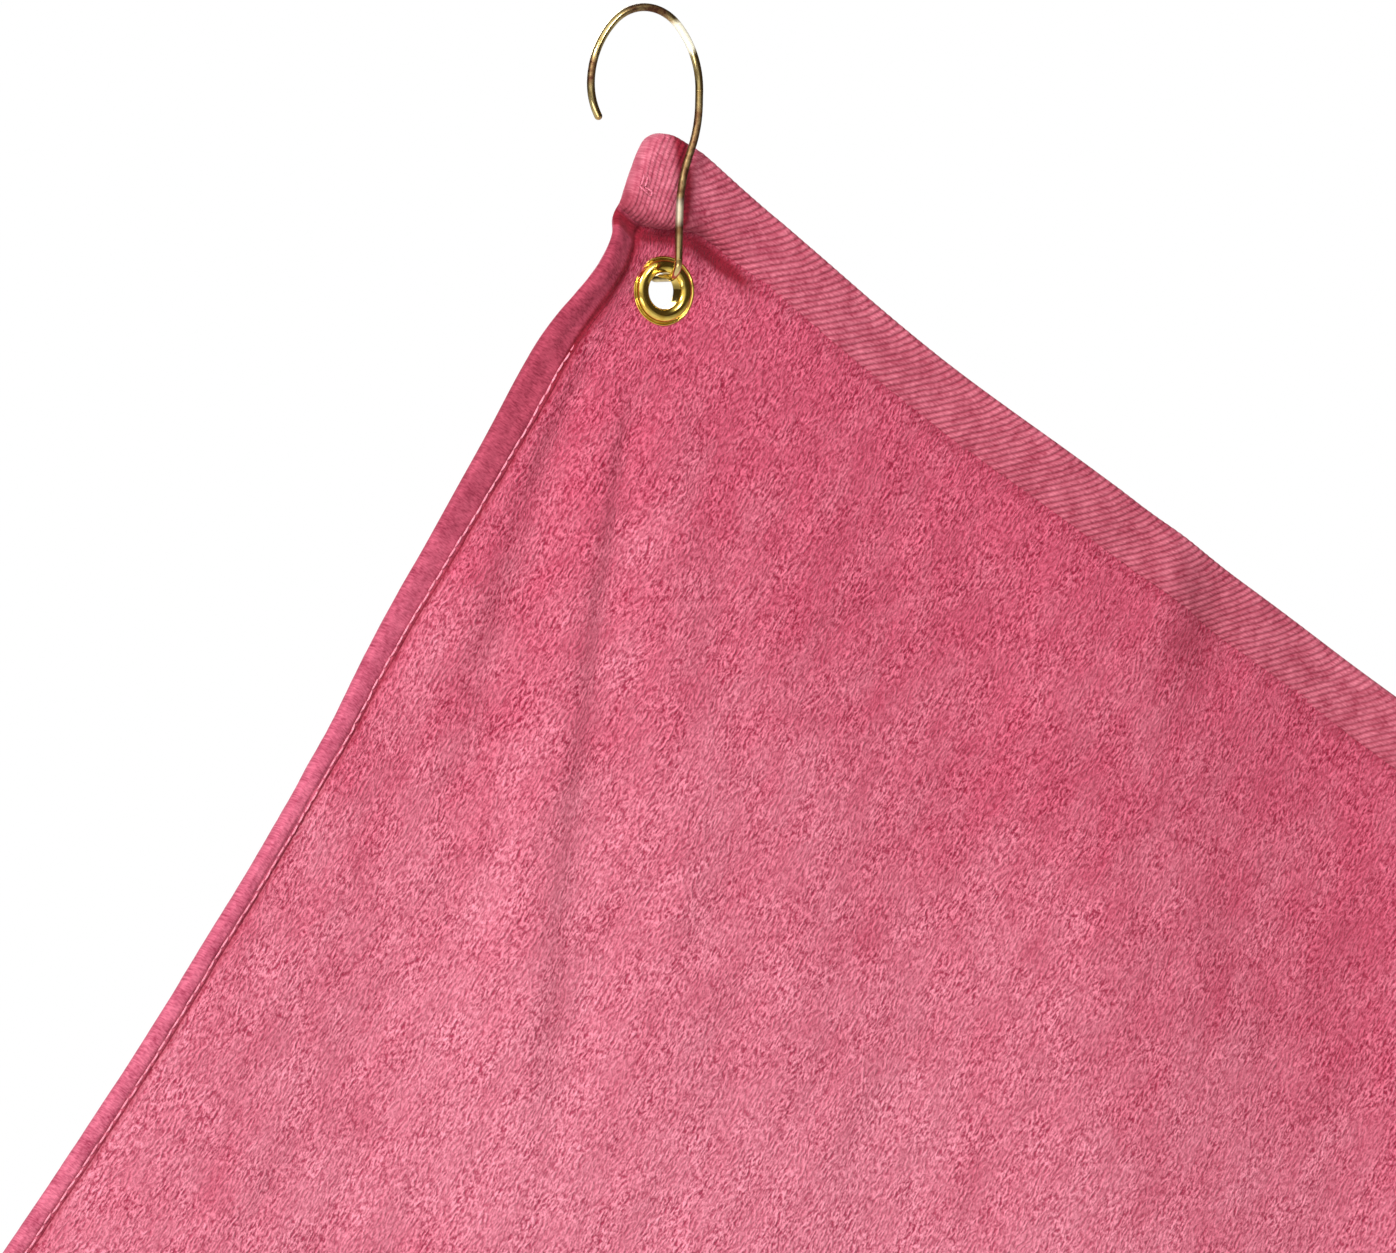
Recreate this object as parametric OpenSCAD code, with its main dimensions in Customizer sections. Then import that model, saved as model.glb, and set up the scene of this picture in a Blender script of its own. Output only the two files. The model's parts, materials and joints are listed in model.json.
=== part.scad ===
// Golf towel hung by one corner from an open wire hook.
// Origin: inside top of the hook's loop, where it bears on what it hangs from.
// +Z is up, +X is to the right, and the towel's face looks towards -Y.

/* [Towel] */
// Length of the towel's long sides, cut flat
towel_len = 635; // [500:1:700]
// Length of the towel's short ends, cut flat
towel_wid = 406.4; // [350:0.1:450]
// Thickness of the velour pile cloth
pile_t = 3; // [2:0.1:4]
// Width of the flat twill hems at the two ends
end_hem_w = 14; // [10:0.5:16]
// Thickness of the twill hems
end_hem_t = 3.6; // [3:0.1:4.2]
// Width of the rolled hems along the two sides
side_hem_w = 6.5; // [5:0.5:9]
// Thickness of the rolled hems
side_hem_t = 4.8; // [4:0.1:5]

/* [Drape] */
// Distance from one hanging fold to the next, along the cloth
fold_pitch = 110; // [95:1:140]
// Steepest slope of the shallow folds near the hook, in degrees
near_slope = 4.5; // [0:0.5:6]
// Extra slope of the deep folds towards the side corners, in degrees
far_slope = 28; // [10:1:32]

/* [Stitching] */
// Width of a stitched thread line
thread_w = 0.7; // [0.5:0.1:1]
// How far a stitched thread stands on the hem
thread_h = 0.3; // [0.2:0.05:0.5]
// Distance from a hem's inner edge to its seam
seam_inset = 1.4; // [1:0.1:2]
// Length of the back-tack at the hanging corner
bartack_len = 6; // [4:0.5:8]

/* [Grommet] */
// Outside diameter of the grommet's flange
flange_d = 15.9; // [15:0.1:16.5]
// Diameter of the hole through the grommet
hole_d = 8.3; // [8:0.1:8.6]
// Thickness of the grommet's brass sheet
brass_t = 0.45; // [0.3:0.05:0.6]
// Height of the front flange's dome
dome_h = 1.3; // [1:0.1:1.5]
// Distance from the grommet's centre to the end edge
grommet_to_end = 31.4; // [30:0.1:33]
// Distance from the grommet's centre to the side edge
grommet_to_side = 20.9; // [19:0.1:22]
// Thickness of the cloth squeezed inside the grommet
seat_t = 1.6; // [1.2:0.1:2]

/* [Hook] */
// Diameter of the hook's wire
wire_d = 1.8; // [1.5:0.1:2]
// Bend radius over the top of the loop
loop_top_r = 11.4; // [11:0.1:12]
// Bend radius down the open side of the loop
open_side_r = 20; // [19:0.1:21]
// Bend radius down the stem side of the loop
stem_side_r = 21.3; // [20:0.1:22]
// Length of the straight stem above the grommet
stem_len = 11.1; // [10:0.1:12]
// Distance from the stem's wire to the middle of the cloth
stem_to_cloth = 7.5; // [7:0.1:8]
// Distance from the middle of the cloth to the back leg's wire
leg_to_cloth = 6; // [5.5:0.1:7]
// Length of the back leg above its bend
leg_len = 12; // [8:1:16]

/* [Hidden] */
$fn = 64;

gold = "goldenrod";
brass = "darkgoldenrod";
raspberry = "#d2607a";
hem_red = "#c9586f";
thread_red = "#dd7f92";

wire_r = wire_d / 2;
hole_r = hole_d / 2;

// The wire's route: arcs that turn right (+) or left (-), and straight runs
tip_turn = 31;
tip_r = 14.8;
side_turn = 45;
neck_drop = 3;
neck_turn = 21;
neck_in_r = 30;
neck_out_r = 37.6;
foot_r = 4;
leg_r = 3.5;
joint_ease = 0.01;

// Along the loop's left half, from its top
loop_left = open_side_r * (1 - cos(side_turn)) + loop_top_r * cos(side_turn);
loop_left_drop = open_side_r * sin(side_turn) + loop_top_r * (1 - sin(side_turn));
// Along its right half and down the neck, to the stem
loop_right = stem_side_r * (1 - cos(side_turn)) + loop_top_r * cos(side_turn);
loop_right_drop = stem_side_r * sin(side_turn) + loop_top_r * (1 - sin(side_turn));
neck_in = (neck_in_r + neck_out_r) * (1 - cos(neck_turn));
neck_fall = (neck_in_r + neck_out_r) * sin(neck_turn);

loop_top_z = wire_r;
stem_x = loop_right - neck_in;
stem_top_z = loop_top_z - loop_right_drop - neck_drop - neck_fall;
foot_z = stem_top_z - stem_len - foot_r;

// The wire lies in the top of the grommet's hole, with a little room
bearing_gap = 0.35;
grommet_x = stem_x;
grommet_y = stem_to_cloth;
grommet_z = foot_z - hole_r + wire_r + bearing_gap;

// The towel hangs with its middle straight under the grommet
lean = atan((towel_wid / 2 - grommet_to_side) / (towel_len / 2 - grommet_to_end));

// A flat point: a along the long side and b along the short end, from the hanging corner
function across(a, b) = b * cos(lean) - a * sin(lean);
function below(a, b) = -a * cos(lean) - b * sin(lean);
corner_x = grommet_x - across(grommet_to_end, grommet_to_side);
corner_z = grommet_z - below(grommet_to_end, grommet_to_side);

// The cloth's fold line seen from above, s along the cloth and 0 under the hanging corner
flat_half = 15;
fold_step = 8;
fold_reach = towel_len * sin(lean) + fold_step;
fold_count = ceil(fold_reach / fold_step);
function ramp(t) = let (u = max(0, min(1, t))) u * u * (3 - 2 * u);
function fold_slope(s) =
    let (u = abs(s))
    (near_slope * ramp((u - flat_half) / 45) + far_slope * ramp((u - 160) / 130))
    * sin(360 * (u - flat_half) / fold_pitch);
function half_fold(side) = [
    for (
        i = 0, s = 0, x = 0, y = 0, a = 0;
        i <= fold_count;
        i = i + 1,
        s = i * fold_step,
        a = side * fold_slope(side * (s - fold_step / 2)),
        x = x + side * fold_step * cos(a),
        y = y + side * fold_step * sin(a)
    )
    [side * s, x, y, side * fold_slope(s)]
];
right_fold = half_fold(1);
left_fold = half_fold(-1);
fold_line = concat(
    [for (i = [fold_count:-1:1]) left_fold[i]],
    [for (i = [1:fold_count]) right_fold[i]]
);
fold_x = [for (p = fold_line) [p[0], p[1]]];

// A flat point's place in the hanging towel, seen from the front
function hung(a, b) = [corner_x + lookup(across(a, b), fold_x), corner_z + below(a, b)];
// The marks from u up to v, or down to it, that a cut along one edge bends at
cut_step = 11;
function marks(u, v) =
    let (
        low = floor(min(u, v) / cut_step) + 1,
        high = ceil(max(u, v) / cut_step) - 1,
        inner = [for (k = [low:1:high]) k * cut_step],
        n = len(inner)
    )
    concat([u], u < v ? inner : [for (i = [0:1:n - 1]) inner[n - 1 - i]]);

seam_end = end_hem_w - seam_inset;
seam_side = side_hem_w - seam_inset;
rivet_clear = 0.06;
flange_gap = 0.15;
recess_r = flange_d / 2 + 0.5;

module wire_joint() {
    // A hair fuller than the wire, so that two of its stretches join as one solid
    sphere(r = wire_r + joint_ease);
}

module wire_turn(r, angle) {
    // A bend to the right for a positive angle, or to the left, with what follows it
    flip = angle > 0 ? 180 : 0;
    turn = abs(angle);
    rotate([0, flip, 0])
        translate([-r, 0, 0]) {
            rotate_extrude(angle = turn)
                translate([r, 0])
                    circle(r = wire_r);
            rotate([0, 0, turn])
                translate([r, 0, 0])
                    rotate([0, flip, 0]) {
                        wire_joint();
                        children();
                    }
        }
}

module round_tip() {
    // The wire's rounded end, on the end face of what comes before it
    rotate([-90, 0, 0])
        rotate_extrude()
            intersection() {
                circle(r = wire_r);
                square(wire_r);
            }
}

module wire_run(len, ends = false) {
    // A straight stretch, with what follows it, or with the wire's end
    rotate([-90, 0, 0])
        cylinder(h = len, r = wire_r);
    translate([0, len, 0]) {
        if (!ends)
            wire_joint();
        children();
    }
}

module hook_wire() {
    color(gold) {
        // The loop, from its open tip over the top and down to the stem's foot
        translate([0, 0, loop_top_z])
            rotate([90, 0, 0])
                translate([-loop_left, -loop_left_drop, 0])
                    translate([tip_r * (1 - cos(tip_turn)), -tip_r * sin(tip_turn), 0])
                        rotate([0, 0, tip_turn]) {
                            rotate([0, 0, 180])
                                round_tip();
                            wire_turn(tip_r, tip_turn)
                                wire_turn(open_side_r, side_turn)
                                    wire_turn(loop_top_r, 2 * (90 - side_turn))
                                        wire_turn(stem_side_r, side_turn)
                                            wire_run(neck_drop)
                                                wire_turn(neck_in_r, neck_turn)
                                                    wire_turn(neck_out_r, -neck_turn)
                                                        wire_run(stem_len);
                        }
        // The foot, back through the grommet, and the leg up behind the corner
        translate([stem_x, 0, foot_z + foot_r])
            rotate([90, 0, 90])
                rotate([0, 0, 180])
                    wire_turn(foot_r, -90)
                        wire_run(stem_to_cloth + leg_to_cloth - foot_r - leg_r)
                            wire_turn(leg_r, -90)
                                wire_run(leg_len, true)
                                    round_tip();
    }
}

module dome_profile(inner_r, height) {
    // Half of a domed ring's section: a shell on a chord from inner_r to the flange's rim
    half = (flange_d / 2 - inner_r) / 2;
    arc_r = (half * half + height * height) / (2 * height);
    translate([inner_r + half, height - arc_r])
        difference() {
            circle(r = arc_r);
            circle(r = arc_r - brass_t);
            translate([-2 * arc_r, -3 * arc_r - height])
                square(4 * arc_r);
        }
}

module grommet_frame() {
    translate([grommet_x, grommet_y, grommet_z])
        rotate([90, 0, 0])
            children();
}

washer_t = 0.5;
lip_t = 0.9;
lip_w = 1.5;

module grommet_eyelet() {
    front = seat_t / 2 + flange_gap;
    back = seat_t / 2 + flange_gap + washer_t;
    color(brass)
        grommet_frame()
            rotate_extrude() {
                translate([0, front])
                    dome_profile(hole_r, dome_h);
                translate([hole_r, -back - lip_t / 2])
                    square([brass_t, front + back + lip_t]);
                intersection() {
                    translate([hole_r + lip_w - lip_t, -back])
                        circle(r = lip_t);
                    translate([hole_r + lip_w - lip_t, -back - lip_t])
                        square([lip_t, lip_t]);
                }
                translate([hole_r, -back - lip_t])
                    square([lip_w - lip_t, lip_t]);
            }
}

module grommet_washer() {
    face = seat_t / 2 + flange_gap;
    rim_r = washer_t / 2;
    color(brass)
        grommet_frame()
            rotate_extrude() {
                translate([hole_r + brass_t, -face - washer_t])
                    square([flange_d / 2 - rim_r - hole_r - brass_t, washer_t]);
                translate([flange_d / 2 - rim_r, -face - rim_r])
                    circle(r = rim_r);
            }
}

module cloth_sheet(front, back) {
    // Cloth between two depths either side of its fold line, full height
    low = corner_z + below(towel_len, towel_wid) - 20;
    translate([corner_x, grommet_y, low])
        linear_extrude(height = corner_z - low + 20)
            polygon(concat(
                [for (p = fold_line) [p[1] - back * sin(p[3]), p[2] + back * cos(p[3])]],
                [
                    for (i = [len(fold_line) - 1:-1:0])
                    let (p = fold_line[i])
                    [p[1] + front * sin(p[3]), p[2] - front * cos(p[3])]
                ]
            ));
}

module cut(a0, b0, a1, b1) {
    // The prism that cuts a flat rectangle's piece out of the hanging cloth
    depth = 200;
    translate([0, grommet_y + depth, 0])
        rotate([90, 0, 0])
            linear_extrude(height = 2 * depth)
                polygon(concat(
                    [for (a = marks(a0, a1)) hung(a, b0)],
                    [for (b = marks(b0, b1)) hung(a1, b)],
                    [for (a = marks(a1, a0)) hung(a, b1)],
                    [for (b = marks(b1, b0)) hung(a0, b)]
                ));
}

module cloth_piece(a0, b0, a1, b1, thick) {
    intersection() {
        cloth_sheet(thick / 2, thick / 2);
        cut(a0, b0, a1, b1);
    }
}

module pile_panel() {
    color(raspberry)
        difference() {
            cloth_piece(end_hem_w, side_hem_w, towel_len - end_hem_w, towel_wid - side_hem_w, pile_t);
            grommet_frame()
                cylinder(h = 4 * pile_t, r = hole_r + brass_t + rivet_clear, center = true);
            for (side = [0, 180])
                grommet_frame()
                    rotate([side, 0, 0])
                        translate([0, 0, seat_t / 2])
                            cylinder(h = pile_t, r = recess_r);
        }
}

module end_hem(a0) {
    color(hem_red)
        cloth_piece(a0, 0, a0 + end_hem_w, towel_wid, end_hem_t);
}

module side_hem(b0) {
    color(hem_red)
        cloth_piece(end_hem_w, b0, towel_len - end_hem_w, b0 + side_hem_w, side_hem_t);
}

module seam(a0, b0, a1, b1, hem_t, side) {
    // A line of stitches lying on one face of a hem
    face = hem_t / 2;
    color(thread_red)
        intersection() {
            if (side == "face")
                cloth_sheet(face + thread_h, -face);
            else
                cloth_sheet(-face, face + thread_h);
            cut(a0, b0, a1, b1);
        }
}

module end_seam(a, side) {
    seam(a - thread_w / 2, 1, a + thread_w / 2, towel_wid - 1, end_hem_t, side);
}

module side_seam(b, side) {
    seam(
        end_hem_w + 1,
        b - thread_w / 2,
        towel_len - end_hem_w - 1,
        b + thread_w / 2,
        side_hem_t,
        side
    );
}

module top_end_hem() { end_hem(0); }
module bottom_end_hem() { end_hem(towel_len - end_hem_w); }
module left_side_hem() { side_hem(0); }
module right_side_hem() { side_hem(towel_wid - side_hem_w); }
module top_end_needle_thread() { end_seam(seam_end, "face"); }
module bottom_end_needle_thread() { end_seam(towel_len - seam_end, "face"); }
module left_side_needle_thread() { side_seam(seam_side, "face"); }
module right_side_needle_thread() { side_seam(towel_wid - seam_side, "face"); }
module top_end_bobbin_thread() { end_seam(seam_end, "back"); }
module bottom_end_bobbin_thread() { end_seam(towel_len - seam_end, "back"); }
module left_side_bobbin_thread() { side_seam(seam_side, "back"); }
module right_side_bobbin_thread() { side_seam(towel_wid - seam_side, "back"); }

module corner_bartack_thread() {
    // A short zigzag bar across the hem just inside the hanging corner
    tack_in = 3;
    tack_w = 1.2;
    seam(tack_in, tack_in, tack_in + tack_w, tack_in + bartack_len, end_hem_t, "face");
}

hook_wire();
grommet_eyelet();
grommet_washer();
pile_panel();
top_end_hem();
bottom_end_hem();
left_side_hem();
right_side_hem();
top_end_needle_thread();
bottom_end_needle_thread();
left_side_needle_thread();
right_side_needle_thread();
top_end_bobbin_thread();
bottom_end_bobbin_thread();
left_side_bobbin_thread();
right_side_bobbin_thread();
corner_bartack_thread();
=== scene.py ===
"""Looks of the golf towel: cloth, hems, stitches, grommet and hook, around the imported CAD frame."""
import json
import math

import bpy
import numpy as np
from mathutils import Matrix, Vector

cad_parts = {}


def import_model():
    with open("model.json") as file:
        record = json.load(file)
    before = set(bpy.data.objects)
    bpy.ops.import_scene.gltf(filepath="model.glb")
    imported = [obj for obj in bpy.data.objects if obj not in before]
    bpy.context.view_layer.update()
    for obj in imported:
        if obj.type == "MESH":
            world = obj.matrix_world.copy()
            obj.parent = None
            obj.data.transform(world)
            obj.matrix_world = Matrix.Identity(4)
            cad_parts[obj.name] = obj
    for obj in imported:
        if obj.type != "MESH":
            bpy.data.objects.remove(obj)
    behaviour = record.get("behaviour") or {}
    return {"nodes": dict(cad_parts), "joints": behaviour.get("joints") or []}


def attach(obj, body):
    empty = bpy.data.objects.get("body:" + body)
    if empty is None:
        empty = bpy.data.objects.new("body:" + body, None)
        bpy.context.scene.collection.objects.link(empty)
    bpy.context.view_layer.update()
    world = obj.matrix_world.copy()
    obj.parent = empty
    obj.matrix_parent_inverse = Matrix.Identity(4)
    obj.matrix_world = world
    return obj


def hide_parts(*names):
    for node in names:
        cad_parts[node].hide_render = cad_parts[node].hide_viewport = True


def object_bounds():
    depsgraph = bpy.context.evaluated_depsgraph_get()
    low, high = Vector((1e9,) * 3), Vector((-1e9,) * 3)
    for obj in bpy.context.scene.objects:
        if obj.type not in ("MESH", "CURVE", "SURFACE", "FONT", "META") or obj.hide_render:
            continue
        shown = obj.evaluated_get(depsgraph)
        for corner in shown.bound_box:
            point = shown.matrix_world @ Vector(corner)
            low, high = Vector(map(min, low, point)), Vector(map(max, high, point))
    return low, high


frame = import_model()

CAD_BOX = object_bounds()
MM = 0.001

# ---------------------------------------------------------------- sizes, in metres
TOWEL_LEN = 635.0 * MM
TOWEL_WID = 406.4 * MM
PILE_T = 3.0 * MM
END_HEM_W = 14.0 * MM
END_HEM_T = 3.4 * MM
SIDE_HEM_W = 6.5 * MM
SIDE_HEM_T = 3.4 * MM
GROMMET_TO_END = 31.4 * MM
GROMMET_TO_SIDE = 20.9 * MM
SEAT_T = 1.6 * MM
FLANGE_R = 7.95 * MM
CORNER_R = 5.0 * MM
FLAT_HALF = 15.0 * MM
# the soft folds down the towel, which start FLAT_HALF from the middle: their pitch, and how steeply the
# cloth runs in the middle and at the sides
FOLD_PITCH = 110.0 * MM
NEAR_SLOPE = math.radians(4.5)
FAR_SLOPE = math.radians(28)

JOINTS = {j["name"]: j for j in frame["joints"]}
GROMMET = np.array(JOINTS["towel_swing"]["pos_m"], float)
LEAN = math.atan2(TOWEL_WID / 2 - GROMMET_TO_SIDE, TOWEL_LEN / 2 - GROMMET_TO_END)


# ---------------------------------------------------------------- the hanging cloth's shape
# Every function of the cloth takes flat points: a runs down the long side and b along the end, both from
# the hanging corner, in metres.
def ramp(t):
    """A smooth step from 0 at t = 0 to 1 at t = 1."""
    u = np.clip(t, 0, 1)
    return u * u * (3 - 2 * u)


def bell(x, width):
    """1 at x = 0, falling to 0 on both sides."""
    return np.exp(-((x / width) ** 2))


def across(a, b):
    """How far right of the hanging corner a flat point lies, along the cloth."""
    return b * math.cos(LEAN) - a * math.sin(LEAN)


def below(a, b):
    """How far under the hanging corner a flat point hangs."""
    return a * math.cos(LEAN) + b * math.sin(LEAN)


CORNER = GROMMET + np.array([
    -across(GROMMET_TO_END, GROMMET_TO_SIDE), 0, below(GROMMET_TO_END, GROMMET_TO_SIDE)])


def fold_line():
    """The cloth seen from above: along it, across and back, from the middle to the side."""
    s = np.arange(0, 0.42, 0.5 * MM)
    near = NEAR_SLOPE * ramp((s - FLAT_HALF) / (45 * MM))
    far = FAR_SLOPE * ramp((s - 160 * MM) / (130 * MM))
    slope = (near + far) * np.sin(2 * math.pi * (s - FLAT_HALF) / FOLD_PITCH)
    step = s[1] - s[0]
    x = np.concatenate([[0], np.cumsum(np.cos(slope[:-1]) * step)])
    y = np.concatenate([[0], np.cumsum(np.sin(slope[:-1]) * step)])
    return s, x, y


FOLD_S, FOLD_X, FOLD_Y = fold_line()


def eased(stations, values):
    """A finer table through the given stations, level at each of them."""
    spans = zip(stations, stations[1:])
    fine = np.concatenate([np.linspace(p, q, 24, endpoint=False) for p, q in spans])
    k = np.clip(np.searchsorted(stations, fine, side="right") - 1, 0, len(stations) - 2)
    stations, values = np.array(stations), np.array(values)
    t = ramp((fine - stations[k]) / (stations[k + 1] - stations[k]))
    return np.append(fine, stations[-1]), np.append(values[k] + (values[k + 1] - values[k]) * t, values[-1])


# the fan of creases under the grommet: how far across each lies for the root of its depth, and its height,
# all in mm
CREASE_AT, CREASE_HEIGHT = eased(
    [-9.5, -6.2, -4.75, -2.5, -1.7, 0.4, 1.9, 4.5], [0.0, 1.5, -0.8, 1.25, -0.65, 0.7, 0.0, 0.0])


def crease_edge(b):
    """Where the end hem's inner edge lies: it runs deeper at the hanging corner."""
    return END_HEM_W + 8.0 * MM * (1 - ramp((b - 4 * MM) / (20 * MM)))


def side_seam_inset(a):
    """How far in the side hem's seam lies: the hem is widest near the hanging corner."""
    return 3.9 * MM + 3.6 * MM * (1 - ramp((a - 45 * MM) / (165 * MM)))


def hollow(a, b):
    """How far back the cloth lies from its flat fold line, for what isn't the same all the way down."""
    s = across(a, b)
    depth = below(a, b)
    da, db = a - GROMMET_TO_END, b - GROMMET_TO_SIDE
    dx = across(da, db)
    dz = below(da, db)
    r = np.hypot(dx, dz)
    # creases that run down from the grommet, each a slow rise and then a short fall, left to right
    fan = dx / np.sqrt(np.maximum(dz, 6 * MM) * MM)
    drawn = np.interp(fan, CREASE_AT, CREASE_HEIGHT)
    left_part = ramp((dz - 6 * MM) / (24 * MM)) * (1 - ramp((dz - 75 * MM) / (70 * MM)))
    right_part = ramp((dz - 14 * MM) / (30 * MM)) * (1 - ramp((dz - 140 * MM) / (90 * MM)))
    share = ramp((fan + 4.4) / 1.2)
    fine = drawn * MM * (left_part * (1 - share) + right_part * share)
    # soft unevenness, as a towel has after folding and washing
    rumple = 0.34 * value_noise(a * 0.6, b, 9 * MM, 31) + 0.42 * value_noise(a * 0.7, b, 22 * MM, 32)
    rumple = rumple * MM * ramp((r - 16 * MM) / (20 * MM)) * ramp((a - 16 * MM) / (14 * MM))
    # one more fold, only in the lower part, and shallower at the sides
    deep = 11 * MM * ramp((depth - 290 * MM) / (420 * MM))
    deep = deep * (1 - 0.7 * ramp((np.abs(s) - 120 * MM) / (120 * MM)))
    low = deep * np.sin(2 * math.pi * (s / (92 * MM) + 0.12 + 0.35 * depth))
    # the crease over the grommet, and the corner's swell above it
    edge = a - crease_edge(b)
    by_corner = 1 - ramp((b - 24 * MM) / (20 * MM))
    crease = 2.0 * MM * bell(edge - 2.6 * MM, 3.0 * MM) * by_corner
    swell = -0.8 * MM * bell(np.hypot(a - 9 * MM, b - 9 * MM), 13 * MM)
    # a short pucker across the end hem
    pucker = -1.5 * MM * bell(b - 168 * MM - 0.3 * a, 8 * MM) * bell(a - 12 * MM, 13 * MM)
    pucker += 1.3 * MM * bell(b - 186 * MM - 0.3 * a, 10 * MM) * bell(a - 19 * MM, 15 * MM)
    return -fine - rumple + low + crease + swell + pucker


def middle(a, b):
    """The middle of the cloth at flat points a, b."""
    s = across(a, b)
    depth = below(a, b)
    gain = 0.75 + 0.5 * depth / (750 * MM)
    shift = 18 * MM * (depth / (500 * MM) - 0.5) * np.sign(s) * ramp((np.abs(s) - 120 * MM) / (80 * MM))
    x = np.sign(s) * np.interp(np.abs(s), FOLD_S, FOLD_X)
    y = np.interp(np.abs(s - shift), FOLD_S, FOLD_Y) * gain + hollow(a, b)
    # the squared corner stands out to the left, and the side under it is drawn in and curls forward
    jut = -2.6 * MM * bell(a - 4 * MM, 12 * MM) * (1 - ramp(b / (12 * MM)))
    curl = 4.9 * MM * bell(a - 37 * MM, 14 * MM) * (1 - ramp(b / (15 * MM)))
    # the side under the hanging corner bows in, as its seam pulls it
    bow = 1.1 * bell(a - 96 * MM, 30 * MM) + 6.0 * bell(a - 178 * MM, 62 * MM)
    bow = bow + 3.0 * bell(a - 262 * MM, 60 * MM)
    x = x + jut + 0.5 * curl + bow * MM * (1 - ramp(b / (80 * MM)))
    y = y - 0.87 * curl
    # the end edge sags between the corner and the middle
    sag = 2.1 * bell(b - 88 * MM, 48 * MM) - 2.4 * ramp((b - 150 * MM) / (70 * MM)) * (
        1 - ramp((b - 240 * MM) / (120 * MM)))
    z = -depth - sag * MM * (1 - ramp(a / (120 * MM)))
    return np.stack([CORNER[0] + x, CORNER[1] + y, CORNER[2] + z], axis=-1)


def painted_shade(a, b):
    """Painted shade, 0 to 1: in the corner's crease and along the seams, and the hook stem's shadow."""
    edge = a - crease_edge(b)
    by_corner = 1 - ramp((b - 24 * MM) / (22 * MM))
    # painted shade in the crease under the corner's overhang, on the end hem's lip, and just below the hem
    # by the side
    crease = 2.6 * bell(edge - 3.3 * MM, 2.3 * MM) * by_corner
    brim = 0.5 * bell(np.minimum(edge, 0) / 3.0, MM) * by_corner * (edge < 0)
    under = 0.5 * bell(edge - 3.5 * MM, 4 * MM) * (1 - ramp((b - 6 * MM) / (8 * MM)))
    # painted shade on the side hem near the hanging corner
    on_hem = (b < side_seam_inset(a) + 0.6 * MM) * ramp((a - 20 * MM) / (8 * MM))
    side = 0.6 * (1 - ramp((a - 60 * MM) / (120 * MM))) * on_hem
    # painted shadow of the hook's stem on the cloth, a little to its right
    stem_shadow = 1.5 * bell(across(a - GROMMET_TO_END, b - GROMMET_TO_SIDE) - 3.3 * MM, 1.6 * MM)
    stem_shadow = stem_shadow * ramp((GROMMET_TO_END - a - 4 * MM) / (8 * MM))
    side = np.maximum(side, stem_shadow)
    # painted shade in the corner's fold and in the pucker's dent
    corner_fold = 0.6 * bell(a - 21.5 * MM, 4 * MM) * bell(b, 5 * MM)
    pucker_shade = 0.3 * bell(np.hypot(a - 20 * MM, b - 184 * MM), 9 * MM)
    side = np.maximum(side, pucker_shade)
    # a painted shade line beside the side seam, widest by the notch, and faint ragged painted shade along
    # the end hem
    seam = b - side_seam_inset(a)
    by_notch = 1 - ramp((a - 40 * MM) / (35 * MM))
    left = (0.95 + 0.2 * by_notch - 0.15 * ramp((a - 90 * MM) / (120 * MM))) * bell(
        (seam - 0.85 * MM + 1.2 * MM * by_notch) / (1 + 2.6 * by_notch), 0.65 * MM)
    left = left * ramp((a - 20 * MM) / (6 * MM))
    end = 0.12 * bell(a - END_HEM_W - 1.5 * MM, 3 * MM) * (0.6 + 0.8 * value_noise(a, b, 4 * MM, 41))
    return np.clip(np.maximum.reduce([crease, brim, under, side, corner_fold, left, end]), 0, 1)


def painted_paleness(a, b):
    """Painted light and shade on the pile, 0 deep to 1 pale: paler lower down, deepest by the hanging
    corner and the end hem, deeper to the sides, with random blotches.
    """
    right = across(a, b)
    tone = 0.5 + (below(a, b) - 145 * MM) / (184 * MM) - 2.8 * np.maximum(right, 0)
    tone = np.clip(tone, 0, 1) - 2.6 * np.clip(-right - 0.02, 0, 0.1)
    blotch = 0.16 * value_noise(a * 0.7, b, 11 * MM, 51) + 0.14 * value_noise(a, b, 28 * MM, 52)
    return np.clip(tone + blotch, 0, 1)


def hang(a, b, lift):
    """Points lift in front of the cloth's middle (behind it, where lift is negative)."""
    a, b, lift = np.broadcast_arrays(a, b, lift)
    step = 0.4 * MM
    mid = middle(a, b)
    along = middle(a + step, b) - middle(a - step, b)
    wide = middle(a, b + step) - middle(a, b - step)
    normal = np.cross(along, wide)
    normal /= np.linalg.norm(normal, axis=-1, keepdims=True)
    normal *= np.where(normal[..., 1:2] > 0, -1, 1)
    return mid + normal * lift[..., None]


NOISE_CELLS = 257


def value_noise(a, b, size, seed):
    """Smooth noise between -1 and 1 over the flat cloth, with bumps about size across."""
    local = np.random.default_rng(seed)
    table = local.uniform(-1, 1, (NOISE_CELLS, NOISE_CELLS))
    u, v = a / size + 40.3, b / size + 17.7
    i, j = np.floor(u).astype(int), np.floor(v).astype(int)
    fu, fv = ramp(u - i), ramp(v - j)
    i0, i1 = i % NOISE_CELLS, (i + 1) % NOISE_CELLS
    j0, j1 = j % NOISE_CELLS, (j + 1) % NOISE_CELLS
    low = table[i0, j0] * (1 - fv) + table[i0, j1] * fv
    high = table[i1, j0] * (1 - fv) + table[i1, j1] * fv
    return low * (1 - fu) + high * fu


RIB_PITCH = 1.38 * MM
FOLD_OVER = 7.6 * MM


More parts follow.
